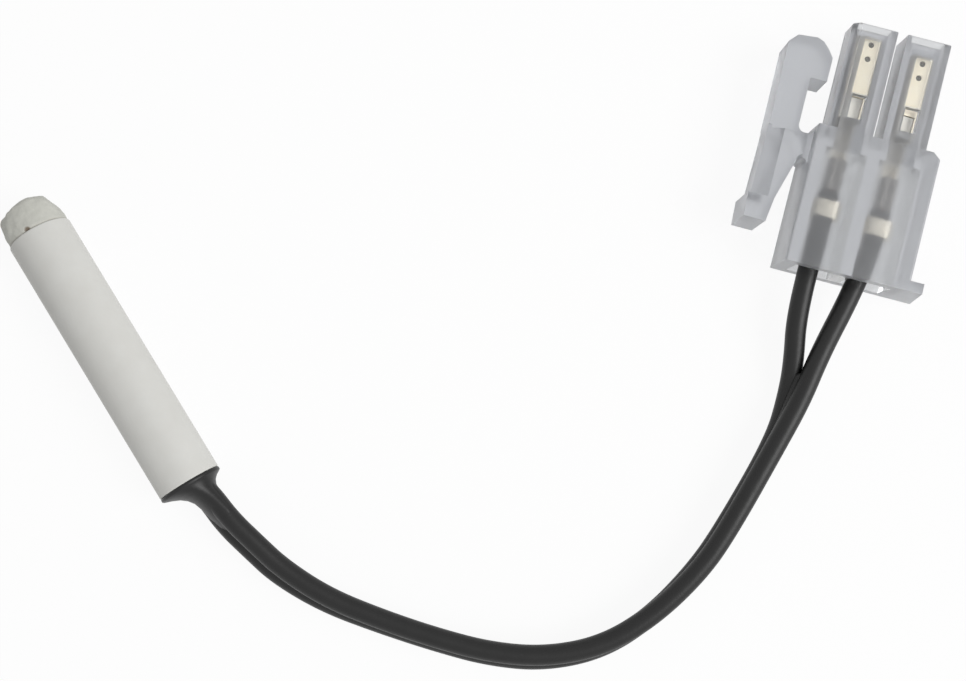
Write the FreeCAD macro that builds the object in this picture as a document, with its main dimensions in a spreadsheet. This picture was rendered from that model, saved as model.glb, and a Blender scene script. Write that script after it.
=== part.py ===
import FreeCAD, Part
import math
import os
import Sketcher
from FreeCAD import Placement, Rotation, Vector

# A thermistor probe of the kind that a refrigerator uses, lying flat. A white sensor tube lies
# along X with its sealed tip at -X. A black twin lead leaves the boot at +X, curves round to the
# left and ends in a nylon connector housing with two crimped socket terminals.
# Millimetres, Z up, the floor is z = 0, and x = y = 0 is the middle of the tube with its tip.

doc = FreeCAD.newDocument("thermistor_probe")
size = doc.addObject("Spreadsheet::Sheet", "size")

# Driving sizes

SIZES = {
    # sensor tube
    "tube_diameter": 5.0,
    "tube_wall": 0.6,
    "tube_length": 22.7,
    "tube_edge": 0.12,
    # sealing compound at the tip
    "tip_length": 2.6,
    "tip_inset": 0.18,
    "tip_rounding": 1.35,
    "tip_stem": 3.0,
    # boot at the mouth
    "boot_plug_length": 3.0,
    "boot_flange": 0.35,
    "boot_length": 3.6,
    "boot_neck_width": 2.1,
    "boot_neck_height": 3.7,
    # sensing bead, its wires and sleeves
    "bead_diameter": 1.6,
    "bead_length": 2.6,
    "bead_gap": 0.6,
    "bead_rounding_share": 0.45,
    "bead_wire_depth": 0.39,
    "bead_wire_diameter": 0.3,
    "bead_wire_spacing": 0.7,
    "sleeve_diameter": 0.64,
    "sleeve_margin": 0.5,
    "splice_diameter": 1.25,
    "splice_length": 3.0,
    # twin lead
    "wire_diameter": 1.6,
    "wire_pitch": 1.66,
    "web_thickness": 0.6,
    "conductor_diameter": 0.76,
    "strip_at_splice": 3.2,
    "strip_at_terminal": 3.3,
    "bend_share": 0.45,
    # connector housing: body and rear lip
    "housing_x": 25.75,
    "housing_y": 50.94,
    "housing_turn": 133.4,
    "housing_height": 5.4,
    "body_length": 10.8,
    "body_width": 9.6,
    "body_corner_length": 0.5,
    "body_corner_width": 0.65,
    "lip_length": 0.8,
    "lip_reach_top": 1.0,
    "lip_reach_floor": 1.9,
    # connector housing: towers and cavities
    "circuit_pitch": 4.2,
    "root_overlap": 0.4,
    "tower_length": 8.8,
    "tower_width": 3.45,
    "tower_height": 3.4,
    "key_chamfer": 0.65,
    "cavity_width": 3.2,
    "cavity_depth": 9.4,
    "bore_width": 2.2,
    "mouth_width": 2.6,
    "mouth_depth": 0.5,
    "window_start": 12.1,
    "window_length": 1.9,
    "window_width": 1.15,
    # connector housing: latch lever
    "lever_inner": 6.1,
    "lever_outer": 8.3,
    "lever_height": 3.2,
    "hook_catch": 14.4,
    "hook_reach": 4.8,
    "hook_end": 17.6,
    "hook_ramp_length": 1.3,
    "hook_ramp_middle": 0.7,
    "hook_ramp_rise": 0.45,
    "hook_corner_length": 0.2,
    "hook_corner_rise": 0.5,
    "hook_crown_length": 0.8,
    "hook_crown_width": 0.5,
    "hook_crown_reach": 0.1,
    "hook_crown_back": 0.15,
    "web_start": 8.2,
    "web_end": 10.1,
    "web_rounding": 0.55,
    "slot_rounding": 0.47,
    "slot_width": 1.0,
    "slot_straight": 0.6,
    "arm_height": 4.9,
    "arm_reach": 0.1,
    "arm_root": 0.7,
    "arm_overlap": 0.3,
    "facet_width": 1.1,
    "facet_slope": 1.5,
    "facet_beyond": 0.6,
    "pad_end": 2.5,
    "pad_length": 1.9,
    "pad_inner": 6.95,
    "pad_outer": 8.75,
    "pad_taper": 0.25,
    "pad_draft": 0.1,
    "pad_step": 0.3,
    "edge_round": 0.2,
    "tower_round": 0.15,
    # socket terminal
    "terminal_1_start": 4.25,
    "terminal_2_start": 3.8,
    "terminal_cant": 1.2,
    "sheet_metal": 0.2,
    "strip_width": 1.1,
    "strip_overlap": 0.5,
    "strip_step": 0.1,
    "neck_wall_top": 0.2,
    "seat_depth": 0.04,
    "grip_length": 1.3,
    "barrel_start": 2.2,
    "barrel_length": 2.5,
    "barrel_wall": 0.25,
    "wing_radius": 0.36,
    "wing_spread": 0.3,
    "box_start": 7.9,
    "box_length": 6.7,
    "box_width": 1.7,
    "box_rounding": 0.32,
    "box_window": 1.9,
    "dimple_diameter": 0.45,
    "dimple_depth": 0.08,
    "dimple_first": 0.6,
    "dimple_spacing": 1.15,
    "tang_start": 10.3,
    "tang_length": 1.6,
    "tang_reach": 0.2,
    "tang_root": 0.1,
    "tang_height": 0.7,
}

for row, (alias, number) in enumerate(SIZES.items(), start=1):
    size.set("A%d" % row, alias)
    size.set("B%d" % row, str(number))
    size.setAlias("B%d" % row, alias)
doc.recompute()

# Route of the lead: the middle of the two bonded wires, which stand one above the other. It
# leaves the tube on its axis, comes down to the floor, and stops where the wires part.
LEAD_ROUTE = [
    Vector(9.4, 0, size.tube_diameter / 2),
    Vector(11.6, 0.08, size.tube_diameter / 2),
    Vector(17.75, 1.15, size.tube_diameter / 2 - 0.1),
    Vector(25.9, 3.95, 1.80),
    Vector(33.0, 9.6, 1.66),
    Vector(38.9, 16.0, 1.66),
    Vector(40.6, 25.0, 1.66),
    Vector(37.4, 34.1, 1.66),
    Vector(33.9, 40.4, 1.70),
]
# The corners of each leg after that, up to where it is in line with its terminal. The lower wire
# goes to the left circuit and the upper wire to the right one.
LEG_ROUTES = {
    1: [Vector(29.5, 44.8, 1.80), Vector(26.7, 46.9, size.housing_height / 2 - 0.15)],
    2: [Vector(29.9, 46.8, 2.50), Vector(27.45, 50.95, size.housing_height / 2)],
}
LEG_FIRST_RUN = {1: 2.6, 2: 3.2}


# Helpers

def value(formula):
    """The number that a formula on the sheet gives."""
    return float(size.evalExpression(formula))


def origin_plane(body, role):
    """The body's own origin plane with this role."""
    return next(item for item in body.Origin.OriginFeatures if item.Role == role)


def new_sketch(body, name, role, lift):
    """An empty sketch on one of the body's origin planes, lifted off it by a formula."""
    sketch = body.newObject("Sketcher::SketchObject", name)
    sketch.AttachmentSupport = [(origin_plane(body, role), "")]
    sketch.MapMode = "FlatFace"
    sketch.setExpression("AttachmentOffset.Base.z", lift)
    return sketch


def bind(sketch, kind, elements, formula):
    """A sketch dimension that follows a formula on the sheet."""
    index = sketch.addConstraint(Sketcher.Constraint(kind, *elements, value(formula)))
    sketch.setExpression("Constraints[%d]" % index, formula)


def outline(body, name, role, lift, corners):
    """A closed outline of straight sides. Each corner is a pair of formulas."""
    sketch = new_sketch(body, name, role, lift)
    points = [Vector(value(across), value(along), 0) for across, along in corners]
    count = len(points)
    for index in range(count):
        sketch.addGeometry(Part.LineSegment(points[index], points[(index + 1) % count]))
    for index in range(count):
        sketch.addConstraint(Sketcher.Constraint("Coincident", index, 2, (index + 1) % count, 1))
    for index, (across, along) in enumerate(corners):
        bind(sketch, "DistanceX", (-1, 1, index, 1), across)
        bind(sketch, "DistanceY", (-1, 1, index, 1), along)
    return sketch


def disc(body, name, role, lift, centre, radius):
    """A circle in a sketch. Its centre is a pair of formulas."""
    sketch = new_sketch(body, name, role, lift)
    middle = Vector(value(centre[0]), value(centre[1]), 0)
    sketch.addGeometry(Part.Circle(middle, Vector(0, 0, 1), value(radius)))
    bind(sketch, "DistanceX", (-1, 1, 0, 3), centre[0])
    bind(sketch, "DistanceY", (-1, 1, 0, 3), centre[1])
    bind(sketch, "Radius", (0,), radius)
    return sketch


def pad(body, name, sketch, length, both_ways=False):
    """Material from a sketch along its normal, or half to each side of it."""
    feature = body.newObject("PartDesign::Pad", name)
    feature.Profile = sketch
    feature.setExpression("Length", length)
    feature.Midplane = both_ways
    doc.recompute()
    return feature


def pocket(body, name, sketch, length, along_normal=True):
    """Material cut away from a sketch, along its normal or against it, and checked."""
    before = body.Shape.Volume
    feature = body.newObject("PartDesign::Pocket", name)
    feature.Profile = sketch
    feature.setExpression("Length", length)
    feature.Reversed = along_normal
    doc.recompute()
    if before - body.Shape.Volume < 1e-4:
        raise RuntimeError(name + " cuts nothing")
    return feature


def revolve(body, name, sketch):
    """A full turn of a sketch about its own horizontal axis."""
    feature = body.newObject("PartDesign::Revolution", name)
    feature.Profile = sketch
    feature.ReferenceAxis = (sketch, ["H_Axis"])
    feature.Angle = 360.0
    doc.recompute()
    return feature


def edges_at(feature, points):
    """The names of the edges whose middles lie nearest to these points."""
    edges = feature.Shape.Edges
    names = []
    for point in points:
        distances = [edge.CenterOfMass.distanceToPoint(point) for edge in edges]
        name = "Edge%d" % (distances.index(min(distances)) + 1)
        if name not in names:
            names.append(name)
    return names


def ring_edges(feature, radius, x=None):
    """The names of the round edges of this radius, at one place along X or anywhere."""
    names = []
    for index, edge in enumerate(feature.Shape.Edges, start=1):
        curve = edge.Curve
        if not isinstance(curve, Part.Circle) or abs(curve.Radius - radius) > 1e-6:
            continue
        if x is None or abs(curve.Center.x - x) < 1e-6:
            names.append("Edge%d" % index)
    return names


def round_edges(body, name, feature, edge_names, radius):
    """A rounding along named edges of the last feature."""
    fillet = body.newObject("PartDesign::Fillet", name)
    fillet.Base = (feature, edge_names)
    fillet.setExpression("Radius", radius)
    doc.recompute()
    return fillet


def new_body(label):
    """A body that becomes one node."""
    body = doc.addObject("PartDesign::Body", label)
    body.Label = label
    return body


def cylinder(name, radius, height, start):
    """A round bar along X from a start on the tube's axis. All sizes are formulas."""
    bar = doc.addObject("Part::Cylinder", name)
    bar.setExpression("Radius", radius)
    bar.setExpression("Height", height)
    bar.Placement = Placement(Vector(0, 0, 0), Rotation(Vector(0, 1, 0), 90))
    bar.setExpression("Placement.Base.x", start)
    bar.setExpression("Placement.Base.z", AXIS_HEIGHT)
    return bar


def fuse(name, pieces):
    """One solid of several that overlap or touch."""
    whole = doc.addObject("Part::MultiFuse", name)
    whole.Shapes = pieces
    return whole


def cut(name, base, tool):
    """What is left of a base after a tool is taken away."""
    rest = doc.addObject("Part::Cut", name)
    rest.Base = base
    rest.Tool = tool
    rest.Label = name
    return rest


def plain(name, shape):
    """A solid that has no dimensioned feature of its own, such as a bent wire."""
    item = doc.addObject("Part::Feature", name)
    item.Shape = shape
    item.Label = name
    return item


AXIS_HEIGHT = "size.tube_diameter / 2"
TIP_END = "-(size.tube_length + size.tip_length) / 2"
SEAM = "(size.tip_length - size.tube_length) / 2"
MOUTH = "(size.tube_length + size.tip_length) / 2"
BORE_RADIUS = "size.tube_diameter / 2 - size.tube_wall"


# Wire paths: straight runs joined by tangent arcs

def bent_path(points):
    """The moves along a route: each is a straight run, or a bend about an axis."""
    moves = []
    here = points[0]
    for before, corner, after in zip(points, points[1:], points[2:]):
        into = (corner - before).normalize()
        out = (after - corner).normalize()
        turn = into.getAngle(out)
        shorter_run = min(corner.distanceToPoint(before), after.distanceToPoint(corner))
        reach = size.bend_share * shorter_run
        radius = reach / math.tan(turn / 2)
        start = corner - into * reach
        axis = into.cross(out).normalize()
        moves.append(("run", start - here))
        moves.append(("bend", start + axis.cross(into) * radius, axis, math.degrees(turn)))
        here = corner + out * reach
        print("  bend radius %6.1f mm, turn %5.1f degrees" % (radius, math.degrees(turn)))
    moves.append(("run", points[-1] - here))
    return moves


def swept(face, moves):
    """The solid that a face leaves along a path, and the face where it ends."""
    pieces = []
    length = 0.0
    for move in moves:
        middle = face.CenterOfMass
        if move[0] == "run":
            pieces.append(face.extrude(move[1]))
            face = face.translated(move[1])
            length += move[1].Length
        else:
            centre, axis, degrees = move[1:]
            pieces.append(face.revolve(centre, axis, degrees))
            face = face.rotated(centre, axis, degrees)
            arm = middle - centre
            arm -= axis * arm.dot(axis)
            length += arm.Length * math.radians(degrees)
    solid = pieces[0].multiFuse(pieces[1:]).Solids[0]
    if abs(solid.Volume - face.Area * length) > 0.002 * solid.Volume:
        raise RuntimeError("a swept solid's volume isn't its section times its length")
    print("  swept length %6.1f mm" % length)
    return solid, face


def circle_face(centre, direction, radius):
    """A round section across a direction."""
    return Part.Face(Part.Wire(Part.makeCircle(radius, centre, direction)))


def twin_section(centre, direction, up):
    """The section of two bonded wires, one above the other, with the web between them."""
    radius = size.wire_diameter / 2
    half_web = size.web_thickness / 2
    side = up.cross(direction).normalize()
    rise = Vector(up) * (size.wire_pitch / 2)
    neck = math.sqrt(radius ** 2 - half_web ** 2)
    corners = {}
    for level in (-1, 1):
        for edge in (-1, 1):
            middle = centre + rise * level
            corners[level, edge] = middle - up * (neck * level) + side * (half_web * edge)
    lower_end = centre - rise - up * radius
    upper_end = centre + rise + up * radius
    edges = [
        Part.Arc(corners[-1, 1], lower_end, corners[-1, -1]).toShape(),
        Part.LineSegment(corners[-1, -1], corners[1, -1]).toShape(),
        Part.Arc(corners[1, -1], upper_end, corners[1, 1]).toShape(),
        Part.LineSegment(corners[1, 1], corners[-1, 1]).toShape(),
    ]
    return Part.Face(Part.Wire(edges))


# Sensor tube: a plain white tube that is open at both ends, lying on its side.

def make_probe_tube():
    body = new_body("probe_tube")
    profile = outline(body, "tube_wall_section", "XZ_Plane", "0", [
        (SEAM, BORE_RADIUS),
        (MOUTH, BORE_RADIUS),
        (MOUTH, "size.tube_diameter / 2"),
        (SEAM, "size.tube_diameter / 2"),
    ])
    tube = revolve(body, "tube_turned", profile)
    rims = ring_edges(tube, value("size.tube_diameter / 2"))
    round_edges(body, "tube_rims", tube, rims, "size.tube_edge")
    body.setExpression("Placement.Base.z", AXIS_HEIGHT)
    return body


# Sealing compound: a stem cast in the tube's end, and the rounded cap that stands out of it.

def make_tip_plug():
    body = new_body("tip_plug")
    profile = outline(body, "tip_section", "XZ_Plane", "0", [
        (TIP_END, "0"),
        (SEAM + " + size.tip_stem", "0"),
        (SEAM + " + size.tip_stem", BORE_RADIUS),
        (SEAM, BORE_RADIUS),
        (SEAM, "size.tube_diameter / 2 - size.tip_inset"),
        (TIP_END, "size.tube_diameter / 2 - size.tip_inset"),
    ])
    cap = revolve(body, "tip_turned", profile)
    rim = ring_edges(cap, value("size.tube_diameter / 2 - size.tip_inset"), value(TIP_END))
    round_edges(body, "tip_rounded", cap, rim, "size.tip_rounding")
    body.setExpression("Placement.Base.z", AXIS_HEIGHT)
    return body


# Twin lead: two round wires bonded by a thin web, which part into two legs before the connector.

def connector_placement():
    turn = Rotation(Vector(0, 0, 1), size.housing_turn)
    return Placement(Vector(size.housing_x, size.housing_y, 0), turn)


def terminal_placement(number):
    """Where a terminal lies: X forwards along its wire, from the rear end of its crimp."""
    side = {1: 1, 2: -1}[number]
    start = Vector(
        value("size.terminal_%d_start" % number),
        side * size.circuit_pitch / 2,
        size.housing_height / 2,
    )
    middle = Vector(size.box_start + size.box_length / 2, 0, 0)
    cant = Rotation(Vector(0, 0, 1), -size.terminal_cant)
    about_box = Placement(middle - cant.multVec(middle), cant)
    return connector_placement() * Placement(start, Rotation()) * about_box


def make_lead():
    """The jacket's outer solid, the jacket and both conductors."""
    start = LEAD_ROUTE[0]
    direction = (LEAD_ROUTE[1] - start).normalize()
    level_side = Vector(0, 0, 1).cross(direction).normalize()
    up = direction.cross(level_side)
    rise = up * (size.wire_pitch / 2)
    print("twin lead")
    twin_moves = bent_path(LEAD_ROUTE)
    twin, last_face = swept(twin_section(start, direction, up), twin_moves)

    stripped = [("run", direction * size.strip_at_splice)]
    outer_pieces = [twin]
    wires = {}
    for number, side in ((1, -1), (2, 1)):
        print("wire %d" % number)
        back_end = start + rise * side - direction * size.strip_at_splice
        copper_start = circle_face(back_end, direction, size.conductor_diameter / 2)
        _, copper_face = swept(copper_start, stripped + twin_moves)
        parting = copper_face.CenterOfMass
        heading = copper_face.normalAt(0, 0)
        if heading.dot(LEAD_ROUTE[-1] - LEAD_ROUTE[-2]) < 0:
            heading = heading * -1
        seat = terminal_placement(number)
        forwards = seat.Rotation.multVec(Vector(1, 0, 0))
        grip_end = seat.multVec(Vector(size.grip_length, 0, 0))
        in_line = seat.multVec(Vector(-size.grip_length, 0, 0))
        leg_points = [parting, parting + heading * LEG_FIRST_RUN[number]]
        leg_points += LEG_ROUTES[number]
        leg_points += [in_line]
        jacket_end = grip_end + forwards * size.sheet_metal
        leg_moves = bent_path(leg_points + [jacket_end])
        leg_start = circle_face(parting, heading, size.wire_diameter / 2)
        leg, _ = swept(leg_start, leg_moves)
        outer_pieces.append(leg)
        bare_run = [("run", forwards * size.strip_at_terminal)]
        copper, _ = swept(copper_start, stripped + twin_moves + leg_moves + bare_run)
        wires[number] = copper

    outer = outer_pieces[0].multiFuse(outer_pieces[1:]).Solids[0]
    outer_object = plain("lead_outside", outer)
    conductors = {n: plain("conductor_%d" % n, wires[n]) for n in wires}
    jacket = cut("lead_jacket", outer_object, fuse("both_conductors", list(conductors.values())))
    return outer_object, jacket, conductors


# Boot: a plug in the tube's mouth, a thin flange on its rim and a flare that closes on the lead.
# Its rings are ellipses whose middles follow the lead.

# How far along the flare each ring lies, and how far it has closed on the lead, from 0 to 1.
BOOT_RINGS = [(0.0, 0.0), (0.11, 0.42), (0.23, 0.78), (0.4, 0.95), (1.0, 1.0)]


def make_boot(lead_outside):
    direction = (LEAD_ROUTE[2] - LEAD_ROUTE[1]).normalize()
    plug = cylinder(
        "boot_plug", BORE_RADIUS, "size.boot_plug_length", MOUTH + " - size.boot_plug_length")
    flange = cylinder("boot_flange_disc", "size.tube_diameter / 2", "size.boot_flange", MOUTH)
    rings = []
    for index, (along, closing) in enumerate(BOOT_RINGS):
        ring = doc.addObject("Part::Ellipse", "boot_ring_%d" % index)
        shares = (1 - closing, closing)
        distance = "size.boot_flange * %g + size.boot_length * %g" % (1 - along, along)
        ring.setExpression(
            "MajorRadius", "size.tube_diameter / 2 * %g + size.boot_neck_height / 2 * %g" % shares)
        ring.setExpression(
            "MinorRadius", "size.tube_diameter / 2 * %g + size.boot_neck_width / 2 * %g" % shares)
        x = value(MOUTH) + value(distance)
        lead_point = LEAD_ROUTE[1] + direction * ((x - LEAD_ROUTE[1].x) / direction.x)
        ring.Placement = Placement(
            Vector(x, lead_point.y * closing, 0),
            Rotation(Vector(0, 0, 1), Vector(0, 1, 0), Vector(1, 0, 0), "XZY"))
        ring.setExpression("Placement.Base.x", MOUTH + " + " + distance)
        ring.setExpression("Placement.Base.z", AXIS_HEIGHT)
        rings.append(ring)
    flare = doc.addObject("Part::Loft", "boot_flare")
    flare.Sections = rings
    flare.Solid = True
    flare.Ruled = False
    blank = fuse("boot_blank", [plug, flange, flare])
    return cut("strain_boot", blank, lead_outside)


# Inside the tube: the bead, its wires and sleeves, the splices and the cast resin.

def make_sensor(lead_outside, conductors):
    bead_start = SEAM + " + size.tip_stem + size.bead_gap"
    bead = cylinder("bead_blank", "size.bead_diameter / 2", "size.bead_length", bead_start)
    rounded = doc.addObject("Part::Fillet", "bead_rounded")
    doc.recompute()
    rounded.Base = bead
    ends = [i + 1 for i, e in enumerate(bead.Shape.Edges) if e.Length > size.bead_diameter * 3]
    rounding = size.bead_diameter * size.bead_rounding_share
    rounded.Edges = [(index, rounding, rounding) for index in ends]

    start = LEAD_ROUTE[0]
    direction = (LEAD_ROUTE[1] - start).normalize()
    up = direction.cross(Vector(0, 0, 1).cross(direction).normalize())
    bead_end = value(bead_start + " + size.bead_length")
    pieces = {}
    for number, side in ((1, -1), (2, 1)):
        copper_end = start + up * (side * size.wire_pitch / 2) - direction * size.strip_at_splice
        splice_start = copper_end - direction * (size.splice_length / 2)
        crimp = Part.makeCylinder(
            size.splice_diameter / 2, size.splice_length, splice_start, direction)
        middle = Vector(
            bead_end - size.bead_wire_depth, 0,
            size.tube_diameter / 2 + side * size.bead_wire_spacing / 2)
        to_splice = copper_end - middle
        wire = Part.makeCylinder(
            size.bead_wire_diameter / 2, to_splice.Length, middle, to_splice)
        along = Vector(to_splice).normalize()
        sleeve_start = middle + along * (size.bead_wire_depth + size.sleeve_margin)
        sleeve_length = (splice_start - sleeve_start).Length - size.sleeve_margin
        sleeve = Part.makeCylinder(
            size.sleeve_diameter / 2, sleeve_length, sleeve_start, along)
        pieces[number] = {"wire": wire, "crimp": crimp, "sleeve": sleeve}

    made = []
    for number in (1, 2):
        wire = plain("bead_lead_%d" % number, pieces[number]["wire"])
        crimp_tool = fuse("wires_in_splice_%d" % number, [wire, conductors[number]])
        crimp = cut("splice_%d" % number, plain("splice_blank_%d" % number,
                                                pieces[number]["crimp"]), crimp_tool)
        sleeve_blank = plain("sleeve_blank_%d" % number, pieces[number]["sleeve"])
        sleeve = cut("lead_sleeving_%d" % number, sleeve_blank, wire)
        made += [wire, crimp, sleeve]
    both_wires = fuse("both_bead_leads", [made[0], made[3]])
    bead_node = cut("thermistor_bead", rounded, both_wires)

    resin = cylinder(
        "resin_blank", BORE_RADIUS,
        "size.tube_length - size.tip_stem - size.boot_plug_length", SEAM + " + size.tip_stem")
    inside = fuse("cast_in", [
        rounded, both_wires, lead_outside, conductors[1], conductors[2],
        doc.getObject("splice_blank_1"), doc.getObject("splice_blank_2"),
        doc.getObject("sleeve_blank_1"), doc.getObject("sleeve_blank_2"),
    ])
    potting = cut("potting_fill", resin, inside)
    return made + [bead_node, potting]


# Connector housing: one nylon moulding. Here X points forwards from the middle of its rear face
# to the mating end, Y to the side of the latch, and Z up.

HALF_WIDTH = "size.body_width / 2"
TOWER_LOW = "(size.housing_height - size.tower_height) / 2"
TOWER_HIGH = "(size.housing_height + size.tower_height) / 2"
LEVER_LOW = "(size.housing_height - size.lever_height) / 2"
ARM_LOW = "(size.housing_height - size.arm_height) / 2"


def square(side_formula, middle):
    """The corners of a square section about a circuit's middle, in the YZ plane."""
    half = "(%s) / 2" % side_formula
    height = "size.housing_height / 2"
    return [
        ("%s - %s" % (middle, half), "%s - %s" % (height, half)),
        ("%s + %s" % (middle, half), "%s - %s" % (height, half)),
        ("%s + %s" % (middle, half), "%s + %s" % (height, half)),
        ("%s - %s" % (middle, half), "%s + %s" % (height, half)),
    ]


def make_housing():
    body = new_body("connector_housing")
    plan = outline(body, "body_plan", "XY_Plane", "0", [
        ("0", "-" + HALF_WIDTH),
        ("size.body_length - size.body_corner_length", "-" + HALF_WIDTH),
        ("size.body_length", "size.body_corner_width - " + HALF_WIDTH),
        ("size.body_length", HALF_WIDTH),
        ("0", HALF_WIDTH),
    ])
    block = pad(body, "body_block", plan, "size.housing_height")
    top = size.housing_height
    half = size.body_width / 2
    long_edges = edges_at(block, [
        Vector(size.body_length / 2, half, top),
        Vector((size.body_length - size.body_corner_length) / 2, -half, top),
        Vector(size.body_length / 2, half, 0),
        Vector((size.body_length - size.body_corner_length) / 2, -half, 0),
    ])
    round_edges(body, "body_edges", block, long_edges, "size.edge_round")

    lip = outline(body, "lip_section", "YZ_Plane", "0", [
        ("size.body_width / 4 - " + HALF_WIDTH, "0"),
        ("-size.lip_reach_floor - " + HALF_WIDTH, "0"),
        ("-size.lip_reach_top - " + HALF_WIDTH, "size.housing_height"),
        ("size.body_width / 4 - " + HALF_WIDTH, "size.housing_height"),
    ])
    pad(body, "rear_lip", lip, "size.lip_length")

    left = "size.circuit_pitch / 2"
    right = "-size.circuit_pitch / 2"
    tower_half = "size.tower_width / 2"
    tower_root = "size.body_length - size.root_overlap"
    left_tower = outline(body, "left_tower_section", "YZ_Plane", tower_root, [
        (left + " - " + tower_half, TOWER_LOW),
        (left + " + " + tower_half + " - size.key_chamfer", TOWER_LOW),
        (left + " + " + tower_half, TOWER_LOW + " + size.key_chamfer"),
        (left + " + " + tower_half, TOWER_HIGH + " - size.key_chamfer"),
        (left + " + " + tower_half + " - size.key_chamfer", TOWER_HIGH),
        (left + " - " + tower_half, TOWER_HIGH),
    ])
    pad(body, "left_tower", left_tower, "size.tower_length + size.root_overlap")
    right_tower = outline(body, "right_tower_section", "YZ_Plane", tower_root, [
        (right + " - " + tower_half + " + size.key_chamfer", TOWER_LOW),
        (right + " + " + tower_half + " - size.key_chamfer", TOWER_LOW),
        (right + " + " + tower_half, TOWER_LOW + " + size.key_chamfer"),
        (right + " + " + tower_half, TOWER_HIGH),
        (right + " - " + tower_half, TOWER_HIGH),
        (right + " - " + tower_half, TOWER_LOW + " + size.key_chamfer"),
    ])
    pad(body, "right_tower", right_tower, "size.tower_length + size.root_overlap")

    lever = outline(body, "lever_plan", "XY_Plane", LEVER_LOW, [
        ("size.web_end", "size.lever_inner"),
        ("size.hook_catch", "size.lever_inner"),
        ("size.hook_catch", "size.hook_reach"),
        ("size.hook_end - size.hook_ramp_length", "size.hook_reach"),
        ("size.hook_end - size.hook_ramp_middle", "size.hook_reach + size.hook_ramp_rise"),
        ("size.hook_end - size.hook_corner_length",
         "size.hook_reach + size.hook_ramp_rise + size.hook_corner_rise"),
        ("size.hook_end", "size.lever_inner + size.hook_corner_length"),
        ("size.hook_end - size.hook_crown_back", "size.lever_outer - size.hook_crown_width"),
        ("size.hook_end - size.hook_crown_length", "size.lever_outer + size.hook_crown_reach"),
        ("size.web_start", "size.lever_outer"),
        ("size.web_start", HALF_WIDTH + " - size.root_overlap"),
        ("size.web_end", HALF_WIDTH + " - size.root_overlap"),
    ])
    pad(body, "lever_and_web", lever, "size.lever_height")

    arm_end = "size.pad_end + size.pad_length"
    arm = outline(body, "arm_plan", "XY_Plane", ARM_LOW, [
        ("size.pad_end", "size.pad_inner"),
        (arm_end, "size.pad_inner - size.pad_taper"),
        ("size.web_start - size.slot_straight", HALF_WIDTH + " + size.slot_width"),
        ("size.web_start", HALF_WIDTH + " + size.slot_width"),
        ("size.web_start", "size.lever_inner - size.arm_root"),
        ("size.web_end - size.arm_overlap", "size.lever_inner"),
        ("size.web_end - size.arm_overlap", "size.lever_outer"),
        (arm_end + " + size.pad_step", "size.lever_outer + size.arm_reach"),
        (arm_end, "size.pad_outer"),
        ("size.pad_end", "size.pad_outer - size.pad_draft"),
    ])
    lever_arm = pad(body, "lever_arm", arm, "size.arm_height")

    middle_height = size.housing_height / 2
    slot_corners = edges_at(lever_arm, [
        Vector(size.web_start, half, middle_height),
        Vector(size.web_start, half + size.slot_width, middle_height),
    ])
    slot = round_edges(body, "slot_end", lever_arm, slot_corners, "size.slot_rounding")
    web_corners = edges_at(slot, [
        Vector(size.web_end, half, middle_height),
        Vector(size.web_end, size.lever_inner, middle_height),
    ])
    web = round_edges(body, "web_corners", slot, web_corners, "size.web_rounding")
    mouth = size.body_length + size.tower_length
    pitch_side = size.circuit_pitch / 2
    mouth_edges = edges_at(web, [
        Vector(mouth, pitch_side - size.key_chamfer / 2, middle_height + size.tower_height / 2),
        Vector(mouth, -pitch_side + size.key_chamfer / 2, middle_height + size.tower_height / 2),
        Vector(mouth, pitch_side - size.tower_width / 2, middle_height),
        Vector(mouth, -pitch_side - size.tower_width / 2, middle_height + size.key_chamfer / 2),
        Vector(mouth, -pitch_side + size.tower_width / 2, middle_height + size.key_chamfer / 2),
        Vector(mouth, pitch_side + size.tower_width / 2, middle_height),
    ])
    round_edges(body, "mouth_edges", web, mouth_edges, "size.tower_round")

    for name, high, sign in (("upper", "size.arm_height", ""), ("lower", "0", "-")):
        surface = ARM_LOW + " + " + high
        facet = outline(body, name + "_facet_section", "YZ_Plane", arm_end, [
            ("size.lever_outer - size.facet_width", surface),
            ("size.lever_outer + size.facet_beyond", surface),
            ("size.lever_outer + size.facet_beyond",
             surface + " - %ssize.facet_slope * size.facet_width" % sign),
        ])
        pocket(body, name + "_facet", facet, "size.web_end - size.pad_end - size.pad_length")

    for name, middle in (("left", left), ("right", right)):
        cavity = outline(
            body, name + "_cavity_section", "YZ_Plane", "0", square("size.cavity_width", middle))
        pocket(body, name + "_cavity", cavity, "size.cavity_depth")
        bore = outline(
            body, name + "_bore_section", "YZ_Plane", "0", square("size.bore_width", middle))
        pocket(body, name + "_bore", bore, "size.body_length + size.tower_length")
        mouth = outline(
            body, name + "_mouth_section", "YZ_Plane",
            "size.body_length + size.tower_length - size.mouth_depth",
            square("size.mouth_width", middle))
        pocket(body, name + "_mouth", mouth, "size.mouth_depth")
        window = outline(body, name + "_window_plan", "XY_Plane", "size.housing_height / 2", [
            ("size.window_start", middle + " - size.window_width / 2"),
            ("size.window_start + size.window_length", middle + " - size.window_width / 2"),
            ("size.window_start + size.window_length", middle + " + size.window_width / 2"),
            ("size.window_start", middle + " + size.window_width / 2"),
        ])
        pocket(body, name + "_window", window, "size.tower_height / 2")
    body.Placement = connector_placement()
    return body


# Socket terminal: folded from one strip. From its rear end, here x = 0, a grip round the
# insulation, a barrel rolled down on the conductor, a neck and a square contact box.

STRIP_LOW = "-(size.wire_diameter / 2 + size.sheet_metal)"
BARREL_LOW = "-(size.conductor_diameter / 2 + size.barrel_wall)"
BOX_LOW = "-size.box_width / 2"
BARREL_END = "size.barrel_start + size.barrel_length"


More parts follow.
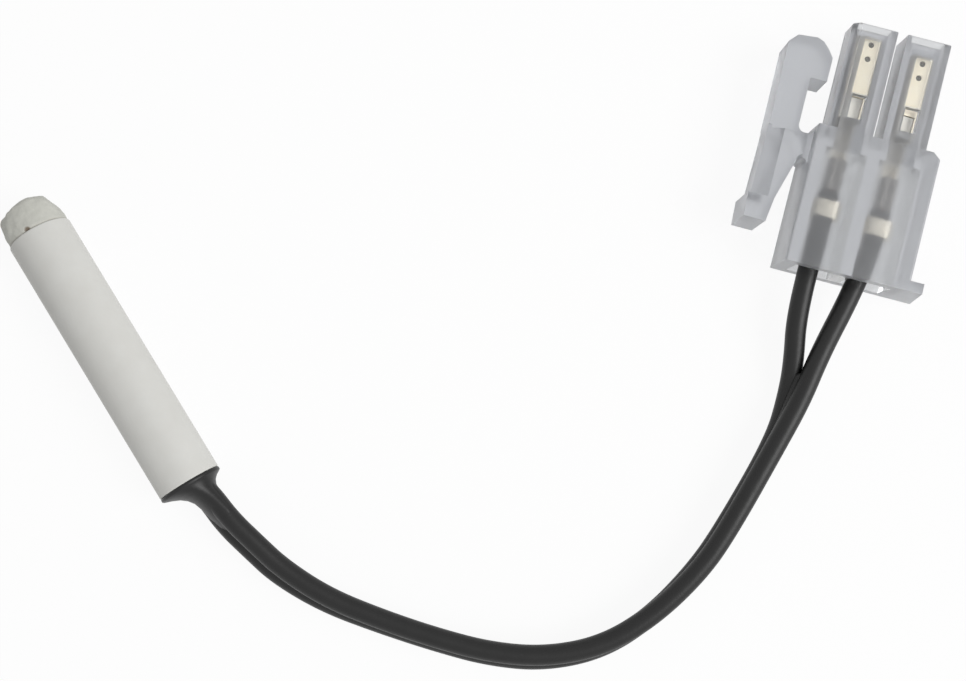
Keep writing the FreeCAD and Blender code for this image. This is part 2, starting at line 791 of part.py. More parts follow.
def make_terminal(number):
    body = new_body("terminal_%d" % number)
    half_box = "size.box_width / 2"
    shell = outline(body, "box_section_%d" % number, "YZ_Plane", "size.box_start", [
        ("-" + half_box, "-" + half_box),
        (half_box, "-" + half_box),
        (half_box, half_box),
        ("-" + half_box, half_box),
    ])
    box = pad(body, "contact_box_%d" % number, shell, "size.box_length")
    x = size.box_start + size.box_length / 2
    reach = size.box_width / 2
    folds = edges_at(box, [
        Vector(x, y, z) for y in (-reach, reach) for z in (-reach, reach)
    ])
    round_edges(body, "box_folds_%d" % number, box, folds, "size.box_rounding")

    bore = outline(body, "box_bore_section_%d" % number, "YZ_Plane", "size.box_start - size.strip_step", [
        ("size.sheet_metal - " + half_box, "size.sheet_metal - " + half_box),
        (half_box + " - size.sheet_metal", "size.sheet_metal - " + half_box),
        (half_box + " - size.sheet_metal", half_box + " - size.sheet_metal"),
        ("size.sheet_metal - " + half_box, half_box + " - size.sheet_metal"),
    ])
    pocket(body, "box_bore_%d" % number, bore, "size.box_length + 2 * size.strip_step")
    opening = outline(body, "box_opening_plan_%d" % number, "XY_Plane", "0", [
        ("size.box_start - size.strip_step", "-size.strip_width / 2"),
        ("size.box_start + size.box_window", "-size.strip_width / 2"),
        ("size.box_start + size.box_window", "size.strip_width / 2"),
        ("size.box_start - size.strip_step", "size.strip_width / 2"),
    ])
    pocket(body, "box_opening_%d" % number, opening, "size.box_width")
    for index in range(2):
        centre = "size.box_start + size.box_length - size.dimple_first - %d * size.dimple_spacing"
        dimple = disc(body, "dimple_section_%d_%d" % (number, index), "XY_Plane",
                      half_box + " - size.dimple_depth", (centre % index, "0"),
                      "size.dimple_diameter / 2")
        pocket(body, "dimple_%d_%d" % (number, index), dimple, "size.dimple_depth")

    metal = " + size.sheet_metal"
    strip = outline(body, "strip_section_%d" % number, "XZ_Plane", "0", [
        ("0", STRIP_LOW),
        ("size.grip_length + size.strip_step", STRIP_LOW),
        ("size.barrel_start", BARREL_LOW),
        (BARREL_END, BARREL_LOW),
        ("size.box_start", BOX_LOW),
        ("size.box_start + size.strip_overlap", BOX_LOW),
        ("size.box_start + size.strip_overlap", BOX_LOW + metal),
        ("size.box_start", BOX_LOW + metal),
        (BARREL_END, BARREL_LOW + metal),
        ("size.barrel_start", BARREL_LOW + metal),
        ("size.grip_length + size.strip_step", STRIP_LOW + metal + " + size.seat_depth"),
        ("0", STRIP_LOW + metal + " + size.seat_depth"),
    ])
    pad(body, "base_strip_%d" % number, strip, "size.strip_width", both_ways=True)

    grip = disc(body, "grip_section_%d" % number, "YZ_Plane", "0", ("0", "0"),
                "size.wire_diameter / 2 + size.sheet_metal")
    pad(body, "insulation_grip_%d" % number, grip, "size.grip_length")
    barrel = disc(body, "barrel_section_%d" % number, "YZ_Plane", "size.barrel_start", ("0", "0"),
                  "size.conductor_diameter / 2 + size.barrel_wall")
    pad(body, "conductor_barrel_%d" % number, barrel, "size.barrel_length")
    for name, side in (("left", ""), ("right", "-")):
        wing = disc(body, "%s_wing_section_%d" % (name, number), "YZ_Plane", "size.barrel_start",
                    (side + "size.wing_spread", "size.conductor_diameter / 2"), "size.wing_radius")
        pad(body, "%s_wing_%d" % (name, number), wing, "size.barrel_length")

    for name, side in (("left", ""), ("right", "-")):
        wall = outline(body, "%s_neck_section_%d" % (name, number), "XZ_Plane",
                       "%s(size.strip_width - size.sheet_metal) / 2" % side, [
            (BARREL_END + " - size.strip_step", BARREL_LOW),
            ("size.box_start + size.strip_step", BOX_LOW),
            ("size.box_start + size.strip_step", "size.neck_wall_top"),
            (BARREL_END + " - size.strip_step", "0"),
        ])
        pad(body, "%s_neck_wall_%d" % (name, number), wall, "size.sheet_metal", both_ways=True)

    grip_bore = disc(body, "grip_bore_section_%d" % number, "YZ_Plane", "0", ("0", "0"),
                     "size.wire_diameter / 2")
    pocket(body, "grip_bore_%d" % number, grip_bore, "size.grip_length + size.sheet_metal")
    barrel_bore = disc(body, "barrel_bore_section_%d" % number, "YZ_Plane", "0", ("0", "0"),
                       "size.conductor_diameter / 2")
    pocket(body, "barrel_bore_%d" % number, barrel_bore, BARREL_END + " + size.strip_step")
    for name, side in (("left", ""), ("right", "-")):
        tang = outline(body, "%s_tang_plan_%d" % (name, number), "XY_Plane", "0", [
            ("size.tang_start", "%s(%s - size.tang_root)" % (side, half_box)),
            ("size.tang_start + size.tang_length", "%s(%s - size.tang_root)" % (side, half_box)),
            ("size.tang_start", "%s(%s + size.tang_reach)" % (side, half_box)),
        ])
        pad(body, "%s_tang_%d" % (name, number), tang, "size.tang_height", both_ways=True)
    body.Placement = terminal_placement(number)
    return body


# Build, check and write

tube = make_probe_tube()
tip = make_tip_plug()
lead_outside, lead_jacket, conductors = make_lead()
boot = make_boot(lead_outside)
sensor_pieces = make_sensor(lead_outside, conductors)
housing = make_housing()
terminals = [make_terminal(1), make_terminal(2)]
doc.recompute()

nodes = [tube, tip, boot, lead_jacket, conductors[1], conductors[2], housing]
nodes += sensor_pieces + terminals

for item in doc.Objects:
    if "Invalid" in item.State or "Error" in item.State:
        raise RuntimeError("%s failed: %s" % (item.Name, item.State))
for node in nodes:
    if node.Shape.isNull() or not node.Shape.isValid() or len(node.Shape.Solids) != 1:
        raise RuntimeError("%s isn't one valid solid" % node.Label)

os.makedirs("parts", exist_ok=True)
for node in sorted(nodes, key=lambda item: item.Label):
    node.Shape.exportStep("parts/%s.step" % node.Label)
    box = node.Shape.BoundBox
    print("%-20s %8.2f mm3  x %6.2f to %6.2f  y %6.2f to %6.2f  z %5.2f to %5.2f" % (
        node.Label, node.Shape.Volume, box.XMin, box.XMax, box.YMin, box.YMax, box.ZMin, box.ZMax))
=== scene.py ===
import math

import bmesh
import bpy
from mathutils import Matrix, Vector, noise


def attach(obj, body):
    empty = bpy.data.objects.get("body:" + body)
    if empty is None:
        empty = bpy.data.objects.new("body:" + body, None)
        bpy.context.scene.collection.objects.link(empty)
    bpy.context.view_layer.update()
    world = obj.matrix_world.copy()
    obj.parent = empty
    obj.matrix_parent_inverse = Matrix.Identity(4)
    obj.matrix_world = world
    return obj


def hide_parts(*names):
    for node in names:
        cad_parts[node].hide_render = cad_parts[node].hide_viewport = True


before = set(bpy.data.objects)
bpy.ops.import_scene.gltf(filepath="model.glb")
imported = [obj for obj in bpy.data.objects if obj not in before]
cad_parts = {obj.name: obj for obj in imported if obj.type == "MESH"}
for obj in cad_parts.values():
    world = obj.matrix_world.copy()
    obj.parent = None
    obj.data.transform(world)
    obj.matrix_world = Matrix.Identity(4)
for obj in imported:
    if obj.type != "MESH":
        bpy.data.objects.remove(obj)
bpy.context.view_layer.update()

# A thermistor probe as a refrigerator uses it, lying on a white table: a white sensor tube, a
# short black twin lead and a natural nylon connector with two crimped sockets. The file follows
# the order in which it is put together, from the lead to the photographer's table.

# The twin lead
# Two stranded wires in black PVC, moulded side by side with a thin web between them. The web is
# torn open before the connector, and each leg goes its own way into the housing. The lead stands
# on edge, with one wire on top of the other, and leans over to the inside of its curve.

MM = 0.001
WIRE_RADIUS = 0.80 * MM
HALF_PITCH = 0.83 * MM
CORE_RADIUS = 0.38 * MM
# How far each conductor reaches back from the lead's first point to its splice in the tube.
SPLICE_REACH = 3.2 * MM
# How far the roughness of a finish wanders to each side.
GLOSS_SPREAD = 0.07
# Middle of the pair, and how far the upper wire leans to the left of it, all in millimetres.
LEAD_ROUTE = [
    (9.4, 0.0, 2.50, 0.00),
    (11.6, 0.08, 2.50, 0.30),
    (14.2, 0.72, 2.50, 0.40),
    (16.8, 0.95, 2.45, 0.43),
    (19.4, 1.60, 2.25, 0.43),
    (22.1, 2.30, 2.00, 0.43),
    (25.85, 4.14, 1.78, 0.34),
    (29.42, 6.80, 1.62, 0.28),
    (32.84, 9.66, 1.62, 0.26),
    (36.04, 12.66, 1.62, 0.28),
    (38.63, 16.12, 1.62, 0.30),
    (40.23, 20.40, 1.63, 0.24),
    (40.21, 24.99, 1.65, 0.14),
    (39.15, 29.72, 1.66, 0.03),
    (37.64, 33.33, 1.66, 0.02),
    (33.9, 40.4, 1.70, 0.05),
]
LOWER_LEG = [(31.4, 43.2, 1.15), (29.42, 44.8, 1.80), (26.45, 46.75, 2.55), (22.00, 51.46, 2.70)]
UPPER_LEG = [
    (32.15, 43.5, 2.50), (29.9, 46.75, 2.50), (27.47, 50.9, 2.70), (25.37, 54.02, 2.70),
]
LOWER_JACKET_END = (19.78, 53.91, 2.70)
UPPER_JACKET_END = (23.14, 56.47, 2.70)
LOWER_CORE_END = (17.91, 55.98, 2.70)
UPPER_CORE_END = (21.27, 58.54, 2.70)


def wire_points(side, leg):
    """One wire's route in metres: beside the pair's middle, then along its own leg."""
    points = []
    for index, (x, y, z, lean) in enumerate(LEAD_ROUTE):
        before = LEAD_ROUTE[max(index - 1, 0)]
        after = LEAD_ROUTE[min(index + 1, len(LEAD_ROUTE) - 1)]
        heading = Vector((after[0] - before[0], after[1] - before[1])).normalized()
        lean *= MM
        rise = math.sqrt(HALF_PITCH ** 2 - lean ** 2)
        across = Vector((-heading.y, heading.x, 0)) * lean
        points.append(Vector((x, y, z)) * MM + (across + Vector((0, 0, rise))) * side)
    return points + [Vector(point) * MM for point in leg]


def smooth_line(name, points, radius):
    """A round wire along a NURBS spline with these points as its control points."""
    curve = bpy.data.curves.new(name, "CURVE")
    curve.dimensions = "3D"
    curve.resolution_u = 12
    curve.bevel_depth = radius
    curve.bevel_resolution = 7
    curve.use_fill_caps = True
    spline = curve.splines.new("NURBS")
    spline.points.add(len(points) - 1)
    for control, point in zip(spline.points, points):
        control.co = (*point, 1)
    spline.order_u = 3
    spline.use_endpoint_u = True
    piece = bpy.data.objects.new(name, curve)
    bpy.context.scene.collection.objects.link(piece)
    return piece


def linear(hex_colour):
    """A colour that is written as sRGB hex, in the linear values that shaders take."""
    channels = [int(hex_colour[i:i + 2], 16) / 255 for i in (1, 3, 5)]
    return [c / 12.92 if c <= 0.04045 else ((c + 0.055) / 1.055) ** 2.4 for c in channels] + [1]


def add_node(material, kind, values=(), **settings):
    """Adds a shader node with its settings. A value is a plain one or another node's output."""
    node = material.node_tree.nodes.new("ShaderNode" + kind)
    for name, setting in settings.items():
        setattr(node, name, setting)
    for socket, given in dict(values).items():
        if isinstance(given, bpy.types.NodeSocket):
            material.node_tree.links.new(given, node.inputs[socket])
        else:
            node.inputs[socket].default_value = given
    return node


def new_material(name):
    """An empty node material, its Principled shader and its Object coordinates."""
    material = bpy.data.materials.new(name)
    material.use_nodes = True
    shader = material.node_tree.nodes["Principled BSDF"]
    place = add_node(material, "TexCoord").outputs["Object"]
    return material, shader, place


def finish(name, first, second, patch, roughness, metallic=0.0, depth=0.0, specular=0.5):
    """A finish whose colour wanders between two tones, in patches of this size in millimetres.

    Its skin is rough to the given depth, also in millimetres, at a quarter of the patch's size.
    """
    material, shader, place = new_material(name)
    wander = add_node(material, "TexNoise", {
        "Vector": place, "Scale": 1 / (patch * MM), "Detail": 3,
    })
    colour = add_node(material, "Mix", {
        0: wander.outputs["Fac"], 6: linear(first), 7: linear(second),
    }, data_type="RGBA")
    gloss = add_node(material, "MapRange", {
        "Value": wander.outputs["Fac"],
        "To Min": roughness - GLOSS_SPREAD, "To Max": roughness + GLOSS_SPREAD,
    })
    links = material.node_tree.links
    links.new(colour.outputs[2], shader.inputs["Base Color"])
    links.new(gloss.outputs[0], shader.inputs["Roughness"])
    if depth:
        skin = add_node(material, "TexNoise", {
            "Vector": place, "Scale": 4 / (patch * MM), "Detail": 3,
        })
        bump = add_node(material, "Bump", {
            "Strength": 0.5, "Distance": depth * MM, "Height": skin.outputs["Fac"],
        })
        links.new(bump.outputs[0], shader.inputs["Normal"])
    shader.inputs["Metallic"].default_value = metallic
    shader.inputs["Specular IOR Level"].default_value = specular
    return material


def line_of(wire):
    """The points of a wire's middle line, from its own spline without its thickness."""
    bare = wire.copy()
    bare.data = wire.data.copy()
    bare.data.bevel_depth = 0
    mesh = bpy.data.meshes.new_from_object(bare)
    points = [vertex.co.copy() for vertex in mesh.vertices]
    bpy.data.meshes.remove(mesh)
    bpy.data.objects.remove(bare)
    return points


def make_piece(name, shape, *materials):
    """An object from a finished bmesh. Its place is in its mesh."""
    mesh = bpy.data.meshes.new(name)
    for face in shape.faces:
        face.smooth = True
    shape.to_mesh(mesh)
    shape.free()
    for material in materials:
        mesh.materials.append(material)
    piece = bpy.data.objects.new(name, mesh)
    bpy.context.scene.collection.objects.link(piece)
    return piece


# Soft PVC is near black, with a low sheen that the die's drag lines break up.
pvc = finish("extruded_black_pvc", "#151515", "#1e1e1e", 1.1, 0.42, depth=0.02, specular=0.35)
lower_points = wire_points(-1, LOWER_LEG)
upper_points = wire_points(1, UPPER_LEG)
lower_end, upper_end = Vector(LOWER_JACKET_END) * MM, Vector(UPPER_JACKET_END) * MM
lower_wire = smooth_line("lower_wire", lower_points + [lower_end], WIRE_RADIUS)
upper_wire = smooth_line("upper_wire", upper_points + [upper_end], WIRE_RADIUS)
for wire in (lower_wire, upper_wire):
    wire.data.materials.append(pvc)
    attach(wire, "root")
    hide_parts("lead_jacket")

WEB_THICKNESS = 0.6 * MM
# The wires are still bonded where their middles are closer than this.
WEB_REACH = 1.72 * MM


def make_web():
    """The strip of PVC between the two wires, as far as they are still bonded."""
    shape = bmesh.new()
    rails = []
    pairs = [(a, b) for a, b in zip(line_of(lower_wire), line_of(upper_wire))
             if (a - b).length < WEB_REACH]
    for rail in zip(*pairs):
        verts = [shape.verts.new(point) for point in rail]
        rails += [shape.edges.new(pair) for pair in zip(verts, verts[1:])]
    bmesh.ops.bridge_loops(shape, edges=rails)
    bmesh.ops.solidify(shape, geom=shape.faces[:], thickness=WEB_THICKNESS)
    bmesh.ops.recalc_face_normals(shape, faces=shape.faces)
    return make_piece("lead_web", shape, pvc)


web = make_web()
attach(web, "root")

# The stranded copper inside each wire shows where it is stripped for its terminal. It is warm
# metal with a dull, slightly darkened surface.
copper = finish("annealed_copper", "#8f5f44", "#b07c5c", 0.4, 0.42, metallic=1.0)


def make_core(name, points, wire_end, core_end):
    """One conductor, from its splice in the tube to the barrel of its terminal."""
    first = points[0] - Vector((SPLICE_REACH, 0, 0))
    core = smooth_line(name, [first] + points + [wire_end, Vector(core_end) * MM], CORE_RADIUS)
    core.data.bevel_resolution = 3
    core.data.materials.append(copper)
    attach(core, "root")
    return core


lower_core = make_core("lower_core", lower_points, lower_end, LOWER_CORE_END)
upper_core = make_core("upper_core", upper_points, upper_end, UPPER_CORE_END)
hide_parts("conductor_1")
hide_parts("conductor_2")

# The sensor tube
# An extruded tube of white filled plastic, cut square at both ends. It is a touch warm and satin,
# with the faint waves that extrusion leaves.

white_plastic = finish(
    "satin_white_plastic", "#d5d4cf", "#dededa", 1.6, 0.52, depth=0.01, specular=0.3)
# Points of a CAD mesh this close are one, and a fold sharper than this is an edge.
WELD_DISTANCE = 0.001 * MM
CREASE_ANGLE = math.radians(28)


def dress(name, material):
    """Gives a CAD node its finish."""
    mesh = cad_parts[name].data
    mesh.materials.clear()
    mesh.materials.append(material)


def merged_copy(node):
    """A copy of a CAD node's mesh with its triangles joined and its creases kept sharp."""
    shape = bmesh.new()
    shape.from_mesh(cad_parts[node].data)
    bmesh.ops.remove_doubles(shape, verts=shape.verts, dist=WELD_DISTANCE)
    for edge in shape.edges:
        edge.smooth = edge.calc_face_angle(0) < CREASE_ANGLE
    return shape


sensor_tube = make_piece("sensor_tube", merged_copy("probe_tube"), white_plastic)
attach(sensor_tube, "root")
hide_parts("probe_tube")

# The sensing element
# A glass bead with two tinned wires in amber sleeves, each crimped to its conductor in a small
# tinned tube. Resin holds them in the middle of the sensor tube, where nothing of them shows.

dress("thermistor_bead", finish("glass_coated_bead", "#7a3d1c", "#94512b", 0.8, 0.15))
dress("potting_fill", finish("pale_resin", "#cfc9b2", "#ddd8c6", 1.2, 0.45))
bright_wire = finish("tinned_wire", "#c9c9c6", "#dededb", 0.3, 0.30, metallic=1.0)
amber_sleeve = finish("polyimide_sleeve", "#a8691c", "#bd7d2a", 0.5, 0.25)
# Bright tin over brass is a pale warm metal, blurred by the rolling of the strip.
tinned = finish("tinned_brass", "#f4ead4", "#fdf7e9", 0.7, 0.42, metallic=0.9)
for wire_number in (1, 2):
    dress("bead_lead_%d" % wire_number, bright_wire)
    dress("lead_sleeving_%d" % wire_number, amber_sleeve)
    dress("splice_%d" % wire_number, tinned)

# The sealed tip
# White casting compound fills the tube's end and stands out of it as a lumpy cap. It was dabbed on
# by hand: its end is nearly flat, one shoulder is tight and the other slopes. The seam has a pit.

TUBE_AXIS = 2.5 * MM
SEAM_X = -10.05
TIP_END = -12.64
TIP_PROFILE = [
    (-7.3, 0.0), (-7.3, 1.88), (-10.0, 1.88), (SEAM_X, 2.34), (-10.2, 2.41), (-10.7, 2.41),
    (-11.3, 2.38), (-11.8, 2.32), (-12.2, 2.20), (-12.46, 1.95), (-12.6, 1.3), (TIP_END, 0.0),
]
# Two flats that the cap was pressed to, each by two of its points: a slope, and a slanting end.
FLATS = [((-10.1, 2.52), (-12.62, 1.70)), ((-11.9, -2.35), (TIP_END, 1.60))]
TIP_MIDDLE = Vector((-10.0, 0, 0)) * MM
# How much of what stands beyond a flat is pressed in.
PRESS_SHARE = 0.85
LUMP_HEIGHT = 0.11 * MM
LUMP_SIZE = 1.1 * MM
SMALL_LUMP_SIZE = 0.45 * MM
# The lumps grow from nothing at the seam over this length.
LUMP_RUN_IN = 0.4 * MM
PIT = Vector((-10.12, -0.07, 4.90)) * MM
PIT_SIZE = 0.30 * MM
PIT_DEPTH = 0.16 * MM
SEAM_STAIN_WIDTH = 0.16 * MM
DIRT_PATCH = 0.7 * MM
# How brown the pit and the seam get, as shares of the brown.
PIT_STAIN = 0.85
SEAM_STAIN = 0.5


def dab(shape):
    """Presses the turned cap into its hand-made form: two flats, lumps and a pit."""
    shape.normal_update()
    moves = []
    for vert in shape.verts:
        if vert.co.x > SEAM_X * MM:
            continue
        move = Vector((0, 0, 0))
        for first, second in FLATS:
            foot = Vector((*first, 0)) * MM
            run = Vector((*second, 0)) * MM - foot
            out = Vector((run.y, -run.x, 0)).normalized()
            if out.dot(foot - TIP_MIDDLE) < 0:
                out.negate()
            beyond = (Vector((vert.co.x, vert.co.y, 0)) - foot).dot(out)
            move -= out * (PRESS_SHARE * max(beyond, 0))
        grown = min((SEAM_X * MM - vert.co.x) / LUMP_RUN_IN, 1)
        lump = noise.noise(vert.co / LUMP_SIZE) + 0.5 * noise.noise(vert.co / SMALL_LUMP_SIZE)
        move += vert.normal * (grown * LUMP_HEIGHT * lump)
        away = (vert.co + Vector((0, 0, TUBE_AXIS)) - PIT).length / PIT_SIZE
        move -= vert.normal * (PIT_DEPTH * max(1 - away, 0))
        moves.append((vert, move))
    for vert, move in moves:
        vert.co += move
        vert.co.x = max(vert.co.x, TIP_END * MM)


def make_tip():
    """The cap: its profile turned round the tube's axis, then pressed out of round."""
    shape = bmesh.new()
    verts = [shape.verts.new((x * MM, r * MM, 0)) for x, r in TIP_PROFILE]
    profile = [shape.edges.new(pair) for pair in zip(verts, verts[1:])]
    bmesh.ops.spin(
        shape, geom=verts + profile, cent=(0, 0, 0), axis=(1, 0, 0),
        angle=math.tau, steps=48, use_merge=True)
    bmesh.ops.remove_doubles(shape, verts=shape.verts, dist=WELD_DISTANCE)
    bmesh.ops.recalc_face_normals(shape, faces=shape.faces)
    bmesh.ops.subdivide_edges(shape, edges=shape.edges[:], cuts=2, use_grid_fill=True)
    dab(shape)
    bmesh.ops.translate(shape, verts=shape.verts, vec=(0, 0, TUBE_AXIS))
    return make_piece("tip_cap", shape, cast_compound())


def cast_compound():
    """Matt compound, greyish white and mottled, with a brown line at the seam and in the pit."""
    material = finish("cast_white_compound", "#bcbcb4", "#d2d2ca", 1.3, 0.66, depth=0.08)
    shader = material.node_tree.nodes["Principled BSDF"]
    plain = shader.inputs["Base Color"].links[0].from_socket
    place = add_node(material, "TexCoord").outputs["Object"]
    to_pit = add_node(material, "VectorMath", {0: place, 1: PIT}, operation="DISTANCE")
    pit = add_node(material, "MapRange", {
        "Value": to_pit.outputs["Value"], "From Min": 0.6 * PIT_SIZE, "From Max": PIT_SIZE,
        "To Min": PIT_STAIN, "To Max": 0.0,
    })
    along = add_node(material, "SeparateXYZ", {0: place})
    seam = add_node(material, "MapRange", {
        "Value": along.outputs["X"], "From Min": SEAM_X * MM - SEAM_STAIN_WIDTH,
        "From Max": SEAM_X * MM, "To Min": 0.0, "To Max": SEAM_STAIN,
    })
    dirt = add_node(material, "TexNoise", {"Vector": place, "Scale": 1 / DIRT_PATCH, "Detail": 2})
    line = add_node(material, "Math", {
        0: seam.outputs[0], 1: dirt.outputs["Fac"],
    }, operation="MULTIPLY")
    brown = add_node(material, "Math", {
        0: pit.outputs[0], 1: line.outputs[0],
    }, operation="MAXIMUM")
    colour = add_node(material, "Mix", {
        0: brown.outputs[0], 6: plain, 7: linear("#6b5844"),
    }, data_type="RGBA")
    material.node_tree.links.new(colour.outputs[2], shader.inputs["Base Color"])
    return material


tip = make_tip()
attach(tip, "root")
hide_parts("tip_plug")

# The boot
# Black compound closes the tube's mouth. It lies on the rim as a thin flange and draws in steeply
# onto the two wires, further on the side that they lean away from.

MOUTH_X = 12.65 * MM
# Each ring: distance from the mouth, half its width and height, how far its middle lies to the
# side and up, all in millimetres, and how far it leans over, in degrees.
BOOT_RINGS = [
    (0.00, 2.44, 2.44, 0.00, 0.00, 0),
    (0.06, 2.50, 2.50, 0.00, 0.00, 0),
    (0.24, 2.50, 2.50, 0.00, 0.00, 0),
    (0.32, 2.40, 2.42, 0.00, 0.00, 0),
    (0.50, 2.00, 2.30, 0.10, 0.00, 6),
    (0.78, 1.56, 2.12, 0.28, 0.00, 12),
    (1.15, 1.24, 1.94, 0.44, 0.00, 18),
    (1.60, 1.05, 1.80, 0.60, 0.00, 22),
    (2.30, 0.93, 1.71, 0.75, 0.00, 26),
    (3.20, 0.85, 1.65, 0.88, -0.02, 30),
    (4.20, 0.70, 1.55, 1.01, -0.05, 31),
    (5.20, 0.40, 1.20, 1.22, -0.10, 31),
]


def make_boot():
    """The boot, one ring after another from the tube's mouth onto the lead."""
    shape = bmesh.new()
    made = bmesh.ops.create_circle(shape, segments=64, radius=1)
    ring = made["verts"]
    edges = shape.edges[:]
    bmesh.ops.rotate(shape, verts=ring, matrix=Matrix.Rotation(math.radians(90), 3, "Y"))
    for index, (along, wide, high, side, rise, lean) in enumerate(BOOT_RINGS):
        if index:
            grown = bmesh.ops.extrude_edge_only(shape, edges=edges)["geom"]
            ring = [item for item in grown if isinstance(item, bmesh.types.BMVert)]
            edges = [item for item in grown if isinstance(item, bmesh.types.BMEdge)]
            bmesh.ops.transform(shape, verts=ring, matrix=place.inverted())
        place = (
            Matrix.Translation((MOUTH_X + along * MM, side * MM, TUBE_AXIS + rise * MM))
            @ Matrix.Rotation(math.radians(-lean), 4, "X")
            @ Matrix.Diagonal((1, wide * MM, high * MM, 1)))
        bmesh.ops.transform(shape, verts=ring, matrix=place)
    bmesh.ops.holes_fill(shape, edges=shape.edges[:])
    bmesh.ops.recalc_face_normals(shape, faces=shape.faces)
    return make_piece("boot", shape, pvc)


boot = make_boot()
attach(boot, "root")
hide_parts("strain_boot")

# The terminals
# Two sockets folded from tinned brass strip: a contact box with two dimples and a spring lance, a
# barrel rolled down on the copper and a grip on the insulation. They lie slightly askew.

# The middle of the housing's rear face on the table, and the way that the housing points.
HOUSING_PLACE = (
    Matrix.Translation((25.75 * MM, 50.94 * MM, 0))
    @ Matrix.Rotation(math.radians(133.4), 4, "Z"))
HOUSING_MIDDLE = 2.70 * MM
# How far each circuit lies from the middle of the housing.
CIRCUIT = 2.10 * MM
BOX_TOP = 0.85 * MM
DIMPLE_DEPTH = 0.08 * MM
LANCE_START = 7.95 * MM
LANCE_LENGTH = 1.80 * MM
LANCE_WIDTH = 1.06 * MM
LANCE_THICKNESS = 0.15 * MM
LANCE_HEIGHT = 0.70 * MM
BOX_MIDDLE = Vector((11.25, 0, 0)) * MM
CANT = math.radians(-1.2)
GRIP_LENGTH = 1.35 * MM
GRIP_BORE = 0.90 * MM
# The crimping tool squares the round grip, and leaves it a little wider than it is high.
GRIP_WIDENED = 1.06
GRIP_LOWERED = 0.98
BARREL_START = 2.15 * MM
BARREL_END = 4.75 * MM
# A height is met when it is out by less than this.
LEVEL_SLACK = 0.01 * MM
# The slots of a terminal's materials, in the order in which it is given them.
PLAIN_TIN, SHADED_DIMPLE_TIN, RUBBED_TIN, SHADED_BARREL_TIN = range(4)


def make_terminal(name, node, start, side):
    """A socket terminal. Start and side say where it lies in the housing."""
    place = (
        HOUSING_PLACE
        @ Matrix.Translation((start, side, HOUSING_MIDDLE))
        @ Matrix.Translation(BOX_MIDDLE)
        @ Matrix.Rotation(CANT, 4, "Z")
        @ Matrix.Translation(-BOX_MIDDLE))
    shape = merged_copy(node)
    bmesh.ops.transform(shape, verts=shape.verts, matrix=place.inverted())
    shape.normal_update()
    for face in shape.faces:
        middle = face.calc_center_median()
        in_dimple = abs(middle.z - BOX_TOP + DIMPLE_DEPTH) < LEVEL_SLACK
        # The barrel's faces take the darker grey of painted shade.
        if BARREL_START < middle.x < BARREL_END:
            face.material_index = SHADED_BARREL_TIN
        # The floors of the dimples take the dark grey of painted shade.
        elif in_dimple and face.normal.z > 0.9:
            face.material_index = SHADED_DIMPLE_TIN
        else:
            face.material_index = PLAIN_TIN
    for vert in shape.verts:
        radius = math.hypot(vert.co.y, vert.co.z)
        if vert.co.x < GRIP_LENGTH and radius > GRIP_BORE:
            corner = (vert.co.y ** 4 + vert.co.z ** 4) ** 0.25 / radius
            vert.co.y *= GRIP_WIDENED / corner
            vert.co.z *= GRIP_LOWERED / corner
    lance = bmesh.ops.create_cube(shape, size=1)["verts"]
    bmesh.ops.transform(shape, verts=lance, matrix=(
        Matrix.Translation((LANCE_START + LANCE_LENGTH / 2, 0, LANCE_HEIGHT))
        @ Matrix.Diagonal((LANCE_LENGTH, LANCE_WIDTH, LANCE_THICKNESS, 1))))
    for face in {face for vert in lance for face in vert.link_faces}:
        face.material_index = RUBBED_TIN
        for edge in face.edges:
            edge.smooth = False
    bmesh.ops.transform(shape, verts=shape.verts, matrix=place)
    piece = make_piece(name, shape, tinned, dimple_shade, rubbed, barrel_shade)
    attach(piece, "root")
    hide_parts(node)
    return piece


# The dimples' floors get a dark grey that is painted shade, for the shadow in these shallow dents.
# The lance is dulled by the wall that it sprang past. The barrel gets a darker grey that is
# painted shade, for the shadow that it lies in.
dimple_shade = finish("dimple_painted_shade", "#4c4a44", "#5d5a52", 0.4, 0.6)
rubbed = finish("rubbed_tin", "#dcdad3", "#e9e7e0", 0.4, 0.5, metallic=0.6)
# Painted shade: the barrel is coloured a darker grey for the shadow that it lies in.
barrel_shade = finish("barrel_painted_shade", "#8f8c88", "#a8a39c", 0.9, 0.5, metallic=0.9)
left_terminal = make_terminal("left_terminal", "terminal_1", 4.25 * MM, CIRCUIT)
right_terminal = make_terminal("right_terminal", "terminal_2", 3.80 * MM, -CIRCUIT)

# The connector housing
# One moulding in natural nylon. It is milky, so that the crimps and the wires show through it as
# soft shapes, and clearer where the roof of each tower lies thin over its contact.

TOWER_ROOF = 4.40 * MM
TOWER_CEILING = 3.80 * MM
# The thin nylon over each contact, along the housing and to each side of its circuit.
PANE_START = 14.1 * MM
LEFT_PANE_END = 18.55 * MM
RIGHT_PANE_END = 18.10 * MM
PANE_HALF_WIDTH = 0.66 * MM
CAVITY_REACH = 1.63 * MM
CUT_SLACK = 0.0001 * MM
NYLON_PATCH = 3.0
NYLON_IOR = 1.53
# The slot of the thin nylon in the housing, after the milky one.
THIN_NYLON = 1


def nylon(name, milk, roughness, clearness):
    """Unfilled nylon with a moulded skin, as milky, rough and clear as it is given."""
    material = finish(name, *milk, NYLON_PATCH, roughness)
    shader = material.node_tree.nodes["Principled BSDF"]
    shader.inputs["IOR"].default_value = NYLON_IOR
    shader.inputs["Transmission Weight"].default_value = clearness
    return material


def roofs(shape):
    """The faces on and under the roofs of the towers."""
    found = []
    for face in shape.faces:
        middle = face.calc_center_median()
        on_roof = abs(middle.z - TOWER_ROOF) < LEVEL_SLACK
        under_roof = abs(middle.z - TOWER_CEILING) < LEVEL_SLACK
        if (on_roof or under_roof) and abs(face.normal.z) > 0.99:
            found.append(face)
    return found


